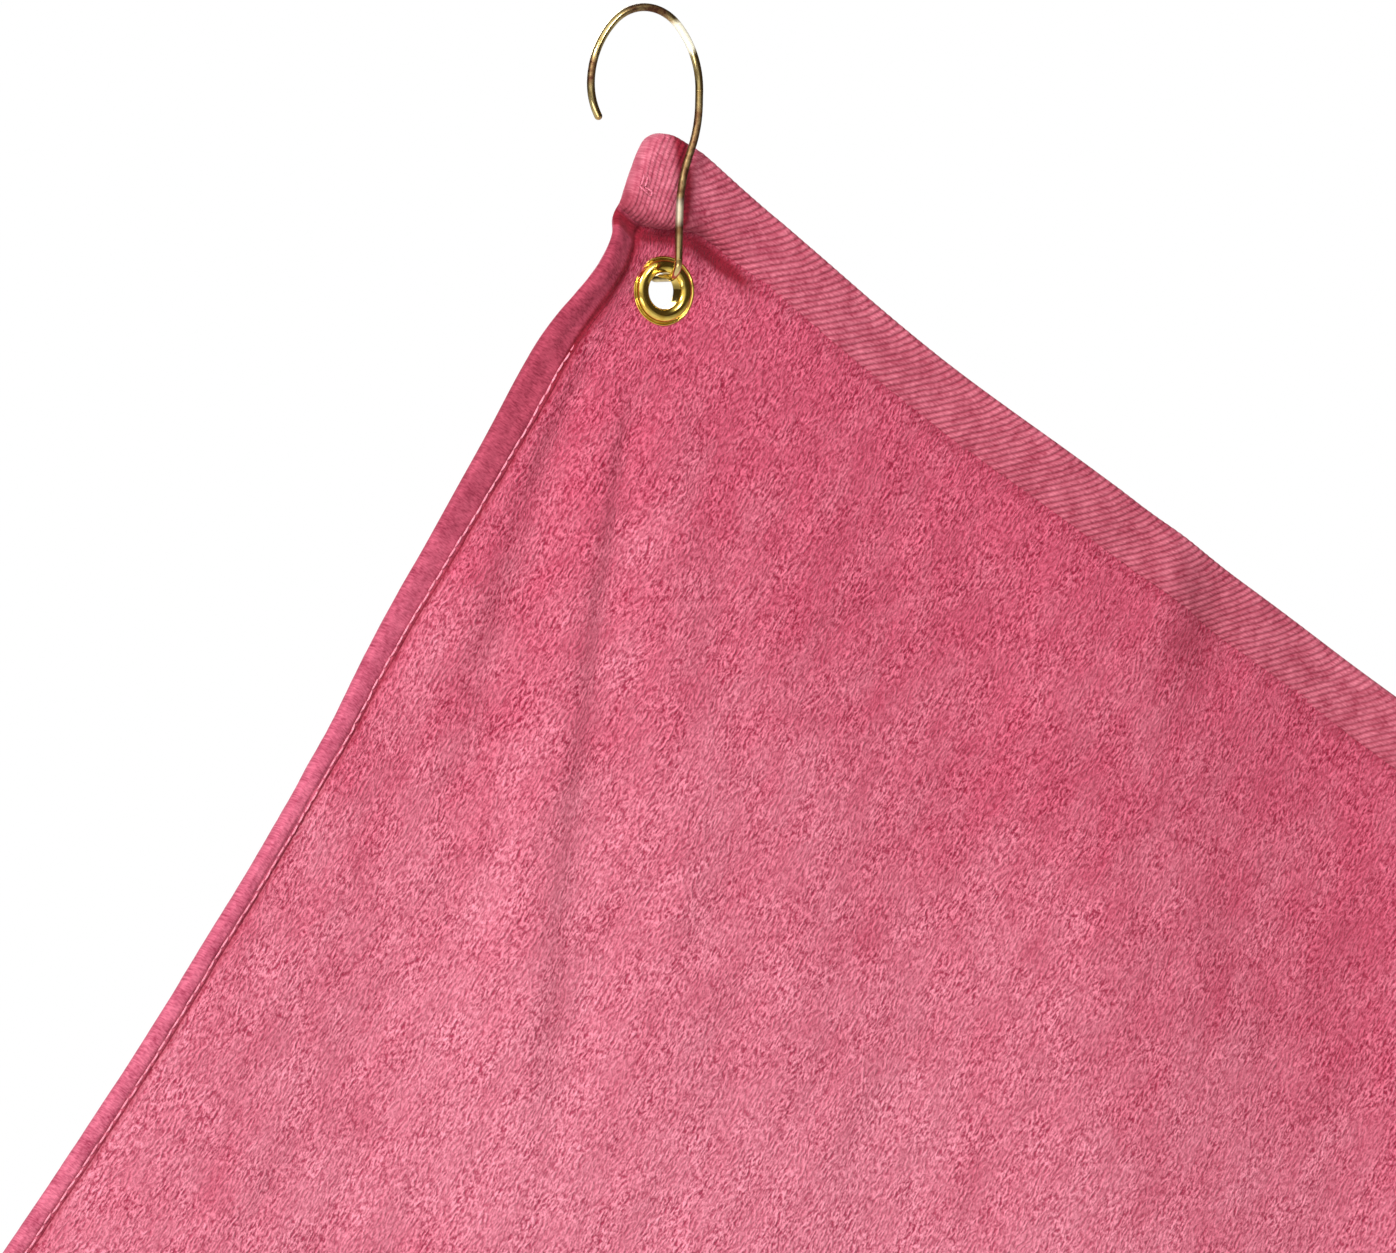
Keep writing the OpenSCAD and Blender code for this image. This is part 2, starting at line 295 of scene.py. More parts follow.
def rib_phase(a, b):
    """Which of the twill's slanted ribs a flat point is on: whole numbers lie in the grooves."""
    wander = 0.13 * value_noise(a, b, 8 * MM, 8) + 0.07 * value_noise(a, b, 2.4 * MM, 9)
    swept = 0.9 * np.clip(1 - a / (6 * MM), 0, 1) ** 2
    slanted = (a + b) / math.sqrt(2) / RIB_PITCH + swept
    # the side hem is folded under at the corner, so its ribs run the other way there
    across_ribs = (b - 0.12 * a) / (0.8 * RIB_PITCH)
    return np.where(folded(a, b), across_ribs, slanted) + wander


def folded(a, b):
    """True on the part of the hanging corner where the side hem is folded under the end hem."""
    return (b < FOLD_OVER + 0.42 * a) & (a < crease_edge(b) + MM)


# ---------------------------------------------------------------- mesh helpers
def volume(mesh):
    """A closed mesh's volume, negative where its faces look inward."""
    mesh.calc_loop_triangles()
    index = np.empty(3 * len(mesh.loop_triangles), dtype=np.int32)
    mesh.loop_triangles.foreach_get("vertices", index)
    place = np.empty(3 * len(mesh.vertices))
    mesh.vertices.foreach_get("co", place)
    corners = place.reshape(-1, 3)[index].reshape(-1, 3, 3)
    corners = corners - corners.mean(axis=(0, 1))
    return np.einsum("ij,ij->i", corners[:, 0], np.cross(corners[:, 1], corners[:, 2])).sum() / 6


BACK_SHADE_SHARE = 0.25  # the share of the painted shade that shows on the towel's back
RIBS_FADE = 7 * MM  # how far the twill's ribs show through the pile


def make_piece(name, points, faces, material, flat=None, face_side=None):
    """A mesh object; cloth also gives its flat points, and which of them are on the towel's face."""
    mesh = bpy.data.meshes.new(name)
    mesh.from_pydata(np.asarray(points).tolist(), [], faces)
    mesh.validate()
    if len(faces) > 1 and volume(mesh) < 0:
        mesh.flip_normals()
    if flat is not None:
        layer = mesh.uv_layers.new(name="cloth_mm")
        loops = np.empty(len(mesh.loops), dtype=np.int32)
        mesh.loops.foreach_get("vertex_index", loops)
        layer.data.foreach_set("uv", (flat[loops] / MM).astype(np.float32).ravel())
        a, b = flat[:, 0], flat[:, 1]
        # painted shade (a share of it on the back), the rib phase, the folded corner, the pile's painted
        # light and shade, and where the ribs show
        paint = {
            "painted_shade": painted_shade(a, b) * np.where(face_side, 1, BACK_SHADE_SHARE),
            "rib": rib_phase(a, b),
            "knotty": folded(a, b),
            "pale": painted_paleness(a, b),
            "ribbed": 1 - ramp((a - crease_edge(b)) / RIBS_FADE),
        }
        for label, value in paint.items():
            mesh.attributes.new(label, "FLOAT", "POINT").data.foreach_set("value", value.astype(np.float32))
    mesh.polygons.foreach_set("use_smooth", [True] * len(mesh.polygons))
    mesh.materials.append(material)
    piece = bpy.data.objects.new(name, mesh)
    bpy.context.scene.collection.objects.link(piece)
    return piece


def closed_sheet(name, a, b, front, back, material, keep=None):
    """A closed solid between two skins over the grid of flat points a, b."""
    rows, cols = a.shape
    count = rows * cols
    points = np.concatenate([
        hang(a, b, front).reshape(-1, 3), hang(a, b, -back).reshape(-1, 3)])
    flat = np.stack([a, b], axis=-1).reshape(-1, 2)
    flat = np.concatenate([flat, flat])
    ids = np.arange(count).reshape(rows, cols)
    quads = np.stack([ids[:-1, :-1], ids[:-1, 1:], ids[1:, 1:], ids[1:, :-1]], axis=-1).reshape(-1, 4)
    if keep is not None:
        quads = quads[keep.reshape(-1)]
    edges = {}
    for q in quads.tolist():
        for u, v in zip(q, q[1:] + q[:1]):
            edges[(u, v)] = True
    rim = [(v, u, u + count, v + count) for (u, v) in edges if (v, u) not in edges]
    faces = [tuple(q[::-1]) for q in quads.tolist()]
    faces += [tuple(i + count for i in q) for q in quads.tolist()]
    faces += [r[::-1] for r in rim]
    used = np.zeros(2 * count, dtype=bool)
    used[np.array([i for f in faces for i in f])] = True
    new = np.cumsum(used) - 1
    faces = [tuple(int(new[i]) for i in f) for f in faces]
    face_side = np.arange(2 * count) < count
    return make_piece(name, points[used], faces, material, flat[used], face_side[used])


def graded(low, high, count, power):
    """Stations from low to high, closer together near low."""
    t = np.linspace(0, 1, count)
    return low + (high - low) * (0.35 * t + 0.65 * t ** power)


# ---------------------------------------------------------------- materials
def srgb(r, g, b):
    """A screen colour, 0 to 255, as linear light."""
    out = []
    for c in (r, g, b):
        c /= 255
        out.append(c / 12.92 if c <= 0.04045 else ((c + 0.055) / 1.055) ** 2.4)
    return (*out, 1)


class Shader:
    """A material's nodes, with short calls for the ones used here."""

    def __init__(self, name):
        self.material = bpy.data.materials.new(name)
        self.material.use_nodes = True
        self.nodes = self.material.node_tree.nodes
        self.links = self.material.node_tree.links
        self.nodes.clear()
        self.out = self.nodes.new("ShaderNodeOutputMaterial")
        self.skin = self.nodes.new("ShaderNodeBsdfPrincipled")
        self.links.new(self.skin.outputs[0], self.out.inputs["Surface"])

    def put(self, socket, value):
        if isinstance(value, bpy.types.NodeSocket):
            self.links.new(value, socket)
        else:
            socket.default_value = value

    def set(self, **values):
        for key, value in values.items():
            self.put(self.skin.inputs[key.replace("_", " ")], value)

    def flat_mm(self):
        node = self.nodes.new("ShaderNodeUVMap")
        node.uv_map = "cloth_mm"
        return node.outputs[0]

    def painted(self, name):
        node = self.nodes.new("ShaderNodeAttribute")
        node.attribute_name = name
        return node.outputs["Fac"]

    def object_mm(self):
        coord = self.nodes.new("ShaderNodeTexCoord")
        scale = self.nodes.new("ShaderNodeVectorMath")
        scale.operation = "SCALE"
        self.links.new(coord.outputs["Object"], scale.inputs[0])
        scale.inputs["Scale"].default_value = 1 / MM
        return scale.outputs[0]

    def turned(self, where, degrees, stretch=(1, 1, 1)):
        node = self.nodes.new("ShaderNodeMapping")
        self.links.new(where, node.inputs["Vector"])
        node.inputs["Rotation"].default_value = (0, 0, math.radians(degrees))
        node.inputs["Scale"].default_value = stretch
        return node.outputs[0]

    def noise(self, where, size, detail=2, rough=0.5, distort=0):
        node = self.nodes.new("ShaderNodeTexNoise")
        self.links.new(where, node.inputs["Vector"])
        node.inputs["Scale"].default_value = 1 / size
        node.inputs["Detail"].default_value = detail
        node.inputs["Roughness"].default_value = rough
        node.inputs["Distortion"].default_value = distort
        return node.outputs["Fac"]

    def math(self, op, a, b=0.0):
        node = self.nodes.new("ShaderNodeMath")
        node.operation = op
        self.put(node.inputs[0], a)
        self.put(node.inputs[1], b)
        return node.outputs[0]

    def remap(self, value, low, high, to_low, to_high):
        node = self.nodes.new("ShaderNodeMapRange")
        self.put(node.inputs["Value"], value)
        node.inputs["From Min"].default_value = low
        node.inputs["From Max"].default_value = high
        node.inputs["To Min"].default_value = to_low
        node.inputs["To Max"].default_value = to_high
        return node.outputs[0]

    def near(self, where, centre, far, close):
        """1 within close millimetres of centre, falling to 0 at far."""
        node = self.nodes.new("ShaderNodeVectorMath")
        node.operation = "DISTANCE"
        self.links.new(where, node.inputs[0])
        node.inputs[1].default_value = centre
        return self.remap(node.outputs["Value"], close, far, 1, 0)

    def mix(self, factor, a, b):
        node = self.nodes.new("ShaderNodeMix")
        node.data_type = "RGBA"
        self.put(node.inputs[0], factor)
        self.put(node.inputs[6], a)
        self.put(node.inputs[7], b)
        return node.outputs[2]

    def bump(self, height, distance_mm, strength=1.0):
        node = self.nodes.new("ShaderNodeBump")
        node.inputs["Distance"].default_value = distance_mm * MM
        node.inputs["Strength"].default_value = strength
        self.links.new(height, node.inputs["Height"])
        return node.outputs[0]


# the pile's dark and light tufts where it is painted deep and where it is painted pale, and the painted
# shade's colours
DEEP_DARK = srgb(138, 28, 55)
DEEP_LIGHT = srgb(216, 102, 128)
PALE_DARK = srgb(156, 52, 78)
PALE_LIGHT = srgb(240, 150, 170)
CRIMSON = srgb(150, 34, 54)
CRIMSON_DARK = srgb(92, 8, 22)


def velour_material():
    s = Shader("raspberry_velour")
    flat = s.flat_mm()
    strokes = s.noise(s.turned(flat, 0, (0.5, 1, 1)), 0.64, 2, 0.6, 0.2)
    crossed = s.noise(s.turned(flat, 14, (0.36, 1, 1)), 0.66, 2, 0.6, 0.3)
    tufts = s.noise(flat, 0.5, 2, 0.7)
    clumps = s.noise(s.turned(flat, -6, (0.5, 1, 1)), 2.4, 3, 0.6)
    patches = s.noise(s.turned(flat, 0, (0.6, 1, 1)), 9, 4, 0.6)
    tone = s.math("ADD", s.math("MULTIPLY", strokes, 0.42), s.math("MULTIPLY", crossed, 0.23))
    tone = s.math("ADD", tone, s.math("MULTIPLY", tufts, 0.24))
    tone = s.math("ADD", tone, s.math("MULTIPLY", clumps, 0.11))
    thread = s.math("SUBTRACT", s.remap(tone, 0.432, 0.568, 0, 1), 0.5)
    matted = s.remap(s.noise(s.turned(flat, 40, (0.8, 1, 1)), 8, 2, 0.5), 0.35, 0.65, 0.55, 1.1)
    thread = s.math("ADD", s.math("MULTIPLY", thread, matted), 0.5)
    # painted light and shade from the pale attribute, with random patches
    pale = s.math("ADD", s.painted("pale"), s.remap(patches, 0.3, 0.7, -0.28, 0.28))
    pale = s.remap(pale, 0, 1, 0, 1)
    colour = s.mix(thread, s.mix(pale, DEEP_DARK, PALE_DARK), s.mix(pale, DEEP_LIGHT, PALE_LIGHT))
    # the twill's ribs show through the pile next to the end hem, and fade out raggedly
    phase = s.math("FRACT", s.painted("rib"))
    groove = s.remap(s.math("ABSOLUTE", s.math("SUBTRACT", phase, 0.5)), 0.26, 0.5, 0, 1)
    ragged = s.math("SUBTRACT", s.painted("ribbed"), s.math("MULTIPLY", clumps, 0.9))
    ragged = s.remap(ragged, 0.0, 0.3, 0, 1)
    colour = s.mix(s.math("MULTIPLY", s.math("MULTIPLY", groove, ragged), 0.7), colour, DEEP_DARK)
    # painted shade in the crease, by the seams and under the hook's stem
    colour = s.mix(s.painted("painted_shade"), colour, s.mix(tone, CRIMSON_DARK, CRIMSON))
    height = s.math("ADD", s.math("MULTIPLY", strokes, 0.8), s.math("MULTIPLY", crossed, 0.5))
    height = s.math("ADD", height, s.math("MULTIPLY", clumps, 0.2))
    s.set(Base_Color=colour, Roughness=s.remap(tufts, 0.3, 0.7, 0.95, 0.8),
          Specular_IOR_Level=0.1, Sheen_Weight=0.14, Sheen_Roughness=0.5,
          Sheen_Tint=srgb(255, 170, 192), Normal=s.bump(height, 1.0, 1.0))
    return s.material


def twill_material(name, dark, light, rib_share, fade):
    """Hem cloth: rib_share is how dark its grooves are, and fade how far it pales with the pile."""
    s = Shader(name)
    flat = s.flat_mm()
    fibre = s.noise(s.turned(flat, 45, (1.8, 0.5, 1)), 0.7, 3, 0.65)
    slub = s.noise(flat, 5, 3, 0.6)
    phase = s.math("FRACT", s.painted("rib"))
    crest = s.math("ABSOLUTE", s.math("SUBTRACT", s.math("MULTIPLY", phase, 2.0), 1.0))
    crest = s.math("SUBTRACT", 1.0, crest)
    crest = s.remap(crest, 0.02, 0.66, 0, 1)
    knots = s.remap(s.noise(s.turned(flat, 20, (1, 0.8, 1)), 0.85, 1, 0.5), 0.42, 0.56, 0, 1)
    crest = s.mix(s.math("MULTIPLY", s.painted("knotty"), 0.4), crest, knots)
    tone = s.math("ADD", s.math("MULTIPLY", fibre, 0.6), s.math("MULTIPLY", slub, 0.4))
    tone = s.remap(tone, 0.36, 0.64, 0, 1)
    tone = s.math("MULTIPLY", tone, s.remap(crest, 0, 1, 1 - rib_share, 1))
    tone = s.mix(s.math("MULTIPLY", s.painted("knotty"), 0.08), tone, (1, 1, 1, 1))
    # the pile's painted light and shade, as far as fade lets it
    pale = s.math("MULTIPLY", s.painted("pale"), fade)
    colour = s.mix(tone, s.mix(pale, dark, PALE_DARK), s.mix(pale, light, PALE_LIGHT))
    # painted shade in the crease, by the seams and under the hook's stem
    colour = s.mix(s.painted("painted_shade"), colour, s.mix(tone, CRIMSON_DARK, CRIMSON))
    height = s.math("ADD", s.math("MULTIPLY", fibre, 0.5), s.math("MULTIPLY", crest, rib_share))
    s.set(Base_Color=colour, Roughness=s.remap(fibre, 0.3, 0.7, 0.9, 0.72),
          Specular_IOR_Level=0.15, Sheen_Weight=0.06, Sheen_Roughness=0.5,
          Sheen_Tint=srgb(255, 180, 200), Normal=s.bump(height, 0.4, 0.6))
    return s.material


def thread_material(name, dark, light):
    s = Shader(name)
    where = s.object_mm()
    ply = s.noise(where, 0.35, 2, 0.6)
    colour = s.mix(s.remap(ply, 0.3, 0.7, 0, 1), dark, light)
    s.set(Base_Color=colour, Roughness=s.remap(ply, 0.3, 0.7, 0.55, 0.75),
          Specular_IOR_Level=0.35, Sheen_Weight=0.2, Normal=s.bump(ply, 0.08, 0.7))
    return s.material


# painted dark-reflection and highlight spots on the hook's wire, in mm from its own origin: the centre,
# where the spot ends, and where it is full
DARK_REFLECTION_SPOTS = [((0.0, 0.0, 0.5), 7.5, 4.5), ((12, 2, -36), 20, 14), ((-14.5, 0, -14), 5, 2.5)]
HIGHLIGHT_BEND = ((9.6, 0.0, -5.4), 5.0, 3.4)
HIGHLIGHT_STEM = ((9.8, 1.5, -45), 4.2, 2.6)
# how strong the painted highlight low on the stem is, and how much rougher the wire is under the painted
# dark reflections
STEM_HIGHLIGHT = 0.34
DARK_REFLECTION_ROUGH = 0.34


def metal_material(name, bright, deep, rough_low, rough_high, dark_reflection_colour=None, highlight_colour=None):
    """Plated metal; the hook's wire also has painted dark reflections and painted highlights in places."""
    s = Shader(name)
    where = s.object_mm()
    wear = s.noise(where, 2.4, 3, 0.6)
    pits = s.noise(where, 0.25, 2, 0.6)
    colour = s.mix(s.remap(wear, 0.35, 0.7, 0, 1), bright, deep)
    rough = s.remap(wear, 0.3, 0.7, rough_low, rough_high)
    if dark_reflection_colour:
        # painted dark reflections: brown on top of the bend, down the stem and at the tip, a little rougher
        # there;
        # painted highlights, pale and less metallic, on the bend's shoulder and low on the stem
        dark_reflection_mask = s.near(where, *DARK_REFLECTION_SPOTS[0])
        for spot in DARK_REFLECTION_SPOTS[1:]:
            dark_reflection_mask = s.math("MAXIMUM", dark_reflection_mask, s.near(where, *spot))
        uneven = s.remap(s.noise(where, 1.6, 2, 0.6), 0.35, 0.65, 0.7, 1.0)
        colour = s.mix(s.math("MULTIPLY", dark_reflection_mask, uneven), colour, dark_reflection_colour)
        stem = s.math("MULTIPLY", s.near(where, *HIGHLIGHT_STEM), STEM_HIGHLIGHT)
        highlight_mask = s.math("MAXIMUM", s.near(where, *HIGHLIGHT_BEND), stem)
        colour = s.mix(highlight_mask, colour, highlight_colour)
        s.set(Metallic=s.remap(highlight_mask, 0, 1, 1, 0.3))
        rough = s.math("ADD", rough, s.math("MULTIPLY", dark_reflection_mask, DARK_REFLECTION_ROUGH))
    else:
        s.set(Metallic=1.0)
    s.set(Base_Color=colour, Roughness=rough,
          Normal=s.bump(pits, 0.006, 0.5))
    return s.material


VELOUR = velour_material()
TWILL = twill_material("hem_twill", srgb(140, 42, 64), srgb(208, 116, 134), 0.62, 0.9)
# the rolled side hems' own colour, its light tone set a little darker than the end hems' as painted shade,
# and taking less of the pile's painted light and shade
ROLLED = twill_material("rolled_hem_cloth", srgb(140, 46, 72), srgb(204, 100, 126), 0.12, 0.3)
THREAD = thread_material("sewing_thread", srgb(194, 86, 112), srgb(238, 156, 174))
HEM_THREAD = thread_material("hem_sewing_thread", srgb(176, 66, 92), srgb(232, 132, 154))
SUNK_THREAD = thread_material("sunk_sewing_thread", srgb(150, 44, 70), srgb(206, 98, 122))
BRASS = metal_material("grommet_brass", srgb(244, 216, 112), srgb(218, 178, 76), 0.1, 0.2)
# the hook's wire: gold with painted dark reflections and painted highlights
GOLD = metal_material("hook_gold", srgb(214, 194, 136), srgb(168, 140, 86), 0.1, 0.22,
                      dark_reflection_colour=srgb(86, 54, 38), highlight_colour=srgb(255, 250, 226))


# ---------------------------------------------------------------- the cloth
UNDER_HEM = 2.2 * MM  # how far the panel runs in under the end hem
HOLE_R = 5.6 * MM  # the hole in the cloth, hidden under the grommet's flange
HEM_LIP = 0.4 * MM  # how far an end hem reaches past its edge, over the pile
FREE_CORNER_R = 2.5 * MM


def pile_panel():
    """The velour body, with a hole under the grommet's flange."""
    far_inner = SIDE_HEM_W - 1.0 * MM
    t = graded(0, 1, 250, 1.6)
    u = graded(0, 1, 190, 1.5)
    # the grid's columns run from seam to seam, and its rows from hem to hem
    b = np.broadcast_to(u[None, :] * TOWEL_WID, (len(t), len(u)))
    stop = TOWEL_LEN - END_HEM_W + 0.8 * MM
    for _ in range(4):
        start = crease_edge(b) - UNDER_HEM
        a = start + (stop - start) * t[:, None]
        near_inner = side_seam_inset(a) + 0.5 * MM
        b = near_inner + (TOWEL_WID - far_inner - near_inner) * u[None, :]
    da, db = a - GROMMET_TO_END, b - GROMMET_TO_SIDE
    r = np.hypot(da, db)
    inside = r < HOLE_R
    keep = ~(inside[:-1, :-1] & inside[1:, :-1] & inside[:-1, 1:] & inside[1:, 1:])
    push = np.where(inside, HOLE_R / np.maximum(r, 1e-6), 1)
    a = np.where(inside, GROMMET_TO_END + da * push, a)
    b = np.where(inside, GROMMET_TO_SIDE + db * push, b)
    r = np.maximum(r, HOLE_R)
    top = a - crease_edge(b) + 0.4 * MM
    edge = np.minimum.reduce([np.where(b > 40 * MM, 9 * MM, top), TOWEL_LEN - END_HEM_W + 1.0 * MM - a,
                              b - near_inner, TOWEL_WID - far_inner - b])
    shoulder = np.sqrt(1 - (1 - np.clip(edge / (2.2 * MM), 0, 1)) ** 2)
    tucked = 0.75 + 0.25 * ramp((top - 0.2 * MM) / (2.0 * MM))
    seat = ramp((r - FLANGE_R + 0.9 * MM) / (2.6 * MM))
    body = (0.45 * MM + (PILE_T / 2 - 0.45 * MM) * shoulder) * tucked
    tuft = 0.14 * value_noise(a, b, 1.9 * MM, 3) + 0.16 * value_noise(a, b, 5.2 * MM, 4)
    body = body + tuft * MM * shoulder
    half = SEAT_T / 2 + (body - SEAT_T / 2) * seat
    piece = closed_sheet("velour_panel", a, b, half, half, VELOUR, keep)
    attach(piece, "towel")
    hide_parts("pile_panel")
    return piece


def ribs(a, b):
    """The twill's slanted ribs, 0 in the grooves to 1 on the crests, for the end hems."""
    phase = rib_phase(a, b)
    crest = 1 - np.abs(2 * (phase - np.floor(phase)) - 1) ** 2.2
    floats = 0.75 + 0.25 * value_noise((a + b) * 1.4, (a - b) * 0.45, 1.0 * MM, 10)
    return crest * floats


def end_hem(name, node, far_end):
    """A flat twill band across one end, with the corner rounded where the towel hangs."""
    fine_part = 225 * MM
    coarse_part = np.linspace(fine_part, TOWEL_WID, 301)[1:]
    b_line = np.concatenate([np.linspace(0, fine_part, 740), coarse_part])
    t = np.linspace(0, 1, 46)
    from_left = b_line
    from_right = TOWEL_WID - b_line
    if far_end:
        inner = np.full_like(b_line, END_HEM_W + HEM_LIP)
        round_r = FREE_CORNER_R
        nearest = np.minimum(from_left, from_right)
    else:
        inner = crease_edge(b_line) + HEM_LIP
        round_r = CORNER_R
        nearest = np.minimum(from_left, from_right + CORNER_R - FREE_CORNER_R)
    cut_in = np.clip(round_r - nearest, 0, round_r)
    outer = round_r - np.sqrt(np.maximum(round_r ** 2 - cut_in ** 2, 0))
    a = outer[:, None] + (inner - outer)[:, None] * t[None, :]
    b = np.broadcast_to(b_line[:, None], a.shape).copy()
    flat_edge = a - outer[:, None]
    ends = np.minimum(from_left, from_right)[:, None]
    edge_round = np.sqrt(1 - (1 - np.clip(flat_edge / (1.6 * MM), 0, 1)) ** 2)
    end_round = np.sqrt(1 - (1 - np.clip(ends / (2.0 * MM), 0, 1)) ** 2)
    to_pile = inner[:, None] - a
    tuck = ramp((to_pile - 0.2 * MM) / (1.8 * MM))
    corner = np.exp(-((a / (30 * MM)) ** 2)) * (1 - ramp((b - 10 * MM) / (26 * MM))) * (not far_end)
    half = (END_HEM_T / 2 + 0.7 * MM * corner) * edge_round * end_round
    open_edge = 0.85 - 0.35 * (1 - ramp((b - 30 * MM) / (20 * MM))) * (not far_end)
    half = half * (open_edge + (1 - open_edge) * tuck)
    stitch = 0.12 * MM * bell(to_pile - 1.9 * MM, 0.45 * MM)
    texture = 0.42 * MM * (ribs(TOWEL_LEN - a if far_end else a, b) - 0.5)
    texture = texture * np.minimum(edge_round * end_round, 1)
    waviness = 0.18 * MM * value_noise(a, b, 9 * MM, 12)
    bulk = 1.5 * MM * corner * np.sqrt(1 - (1 - np.clip(to_pile / (5 * MM), 0, 1)) ** 2)
    bulk = bulk - 0.5 * MM * bell(b - FOLD_OVER - 0.42 * a, 0.7 * MM) * corner
    front = half - stitch + texture + (waviness + bulk) * edge_round * end_round
    back = half - stitch + texture * edge_round
    if far_end:
        a = TOWEL_LEN - a
    thinnest = 0.02 * MM
    piece = closed_sheet(name, a, b, np.maximum(front, thinnest), np.maximum(back, thinnest), TWILL)
    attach(piece, "towel")
    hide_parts(node)
    return piece


def side_hem(name, node, far_side):
    """A narrow rolled hem along one side, pulled in by its seam."""
    start = (END_HEM_W if far_side else crease_edge(0)) - 3.5 * MM
    a_line = np.linspace(start, TOWEL_LEN - END_HEM_W + 2 * MM, 760)
    width = np.full_like(a_line, SIDE_HEM_W) if far_side else side_seam_inset(a_line) + 1.2 * MM
    width = width + 0.3 * MM * value_noise(a_line, a_line * 0, 40 * MM, 20)
    t = np.linspace(0, 1, 22)
    b = width[:, None] * t[None, :]
    a = np.broadcast_to(a_line[:, None], b.shape).copy()
    roll = np.sqrt(1 - (1 - np.clip(b / (1.2 * MM), 0, 1)) ** 2)
    fall = 1 - 0.22 * ramp((b - 2.2 * MM) / (2.6 * MM))
    fall = fall * (0.55 + 0.45 * ramp((a - 24 * MM) / (14 * MM)))
    groove = 0.45 * MM * bell(b - (width[:, None] - 1.3 * MM), 0.5 * MM)
    stitch_pull = 1 + 0.25 * np.cos(2 * math.pi * a / (3.0 * MM))
    lumps = 0.2 * MM * value_noise(a, b, 7 * MM, 21) + 0.13 * MM * value_noise(a, b, 2.3 * MM, 22)
    half = SIDE_HEM_T / 2 * roll * fall - groove * stitch_pull + lumps * roll
    tuck = ramp((width[:, None] - b) / (0.9 * MM))
    tucked_half = 0.9 * MM
    half = tucked_half + (half - tucked_half) * tuck
    half = np.where(b < 0.01 * MM, 0.03 * MM, half)
    if far_side:
        b = TOWEL_WID - b
    piece = closed_sheet(name, a, b, half, half, ROLLED)
    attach(piece, "towel")
    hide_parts(node)
    return piece


STITCH = 3.0 * MM
THREAD_R = 0.24 * MM
# how high the threads run over the cloth's middle: sunk in the end hems, and on the free side's roll
SUNK_LIFT = 1.0 * MM
ROLL_LIFT = 1.32 * MM
SEAM_RINGS = 9
SEAM_SIDES = 6


def stitches(name, node, line, height, side, material):
    """Stitches along a line of flat points, height above the cloth's middle, on its front or back."""
    line = np.asarray(line)
    gone = np.concatenate([[0], np.cumsum(np.linalg.norm(np.diff(line, axis=0), axis=1))])
    count = max(int(gone[-1] / STITCH), 1)
    local = np.random.default_rng(len(name))
    t = np.linspace(0, 1, SEAM_RINGS)
    turn = np.linspace(0, 2 * math.pi, SEAM_SIDES + 1)[:-1]
    radius = THREAD_R * (0.4 + 0.6 * np.sin(math.pi * t) ** 0.4)
    dip = 0.34 * MM * (1 - np.sin(math.pi * t) ** 0.5)
    starts = np.arange(count) * gone[-1] / count
    where = starts[:, None] + (0.01 + 0.98 * t)[None, :] * gone[-1] / count
    middle_line = np.stack([np.interp(where, gone, line[:, k]) for k in (0, 1)], axis=-1)
    along = np.stack([np.interp(where + 0.1 * MM, gone, line[:, k]) for k in (0, 1)], axis=-1) - middle_line
    along /= np.maximum(np.linalg.norm(along, axis=-1, keepdims=True), 1e-9)
    along[:, -1] = along[:, -2]
    cross = np.stack([-along[..., 1], along[..., 0]], axis=-1)
    stray = local.normal(0, 0.1 * MM, (count, 1)) + local.normal(0, 0.08 * MM, (count, 1)) * (t - 0.5)
    middle_line = middle_line + cross * stray[..., None]
    rings = middle_line[:, :, None, :] + cross[:, :, None, :] * (
        np.cos(turn)[None, None, :] * radius[None, :, None])[..., None]
    lift = np.broadcast_to(height, line.shape[:1])
    lift = np.interp(where, gone, lift)[..., None] - dip[None, :, None]
    lift = lift + np.sin(turn)[None, None, :] * radius[None, :, None]
    points = hang(rings[..., 0], rings[..., 1], side * lift).reshape(-1, 3)
    faces = []
    per_stitch = SEAM_RINGS * SEAM_SIDES
    for first in range(0, count * per_stitch, per_stitch):
        for k in range(SEAM_RINGS - 1):
            for m in range(SEAM_SIDES):
                p, q = first + k * SEAM_SIDES + m, first + k * SEAM_SIDES + (m + 1) % SEAM_SIDES
                face = (p, q, q + SEAM_SIDES, p + SEAM_SIDES)
                faces.append(face if side > 0 else face[::-1])
        low = tuple(first + m for m in range(SEAM_SIDES))
        high = tuple(first + (SEAM_RINGS - 1) * SEAM_SIDES + m for m in range(SEAM_SIDES))
        faces += [low[::-1], high] if side > 0 else [low, high[::-1]]
    piece = make_piece(name, points, faces, material)
    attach(piece, "towel")
    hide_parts(node)
    return piece


